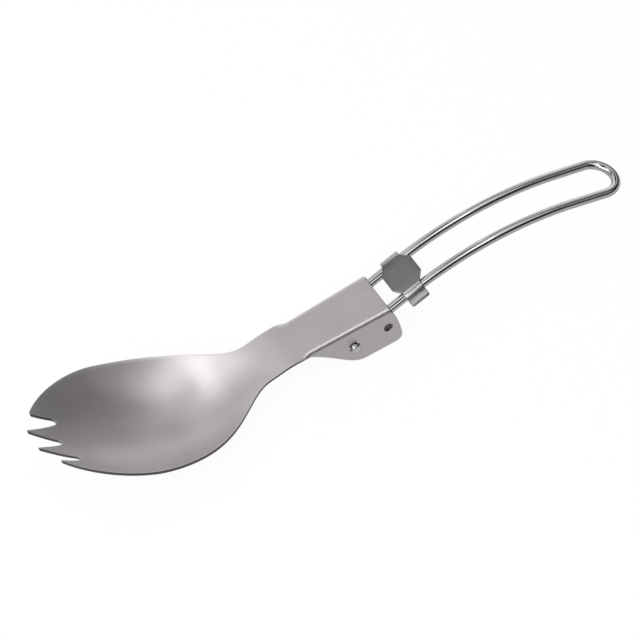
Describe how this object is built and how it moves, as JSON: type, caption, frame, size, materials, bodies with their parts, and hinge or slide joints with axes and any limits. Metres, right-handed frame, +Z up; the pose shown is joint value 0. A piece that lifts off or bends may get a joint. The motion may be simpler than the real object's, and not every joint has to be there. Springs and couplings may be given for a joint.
{
  "type": "folding spork",
  "caption": "Folding camp spork: dished sheet-metal bowl with short tines, a flanged neck, a bent wire handle hinged in the flanges and a slide that locks the handle open.",
  "frame": {"origin": "middle of the footprint of the open spork's bounding box, on the ground it rests on", "axes": "+X along the spork towards the handle's loop, +Y across it, +Z up"},
  "size_m": [0.1622, 0.037, 0.0225],
  "materials": {
    "blasted_titanium": "fine bead-blasted titanium, matte warm grey",
    "polished_wire": "drawn and polished titanium wire",
    "satin_sheet": "satin stamped sheet, darker grey"
  },
  "bodies": {
    "head": {"spork_head": "blasted_titanium"},
    "handle": {"wire_handle": "polished_wire"},
    "lock": {"slide_lock": "satin_sheet"}
  },
  "joints": [
    {"name": "handle_fold", "type": "hinge", "parent": "head", "child": "handle", "pos_m": [0.00128, 0, 0.00559], "axis": [0, 1, 0], "range_deg": [0, 183]},
    {"name": "lock_slide", "type": "hinge", "parent": "handle", "child": "lock", "pos_m": [0.04646, 0, -0.06192], "axis": [0, 1, 0], "range_deg": [-2, 26]}
  ]
}
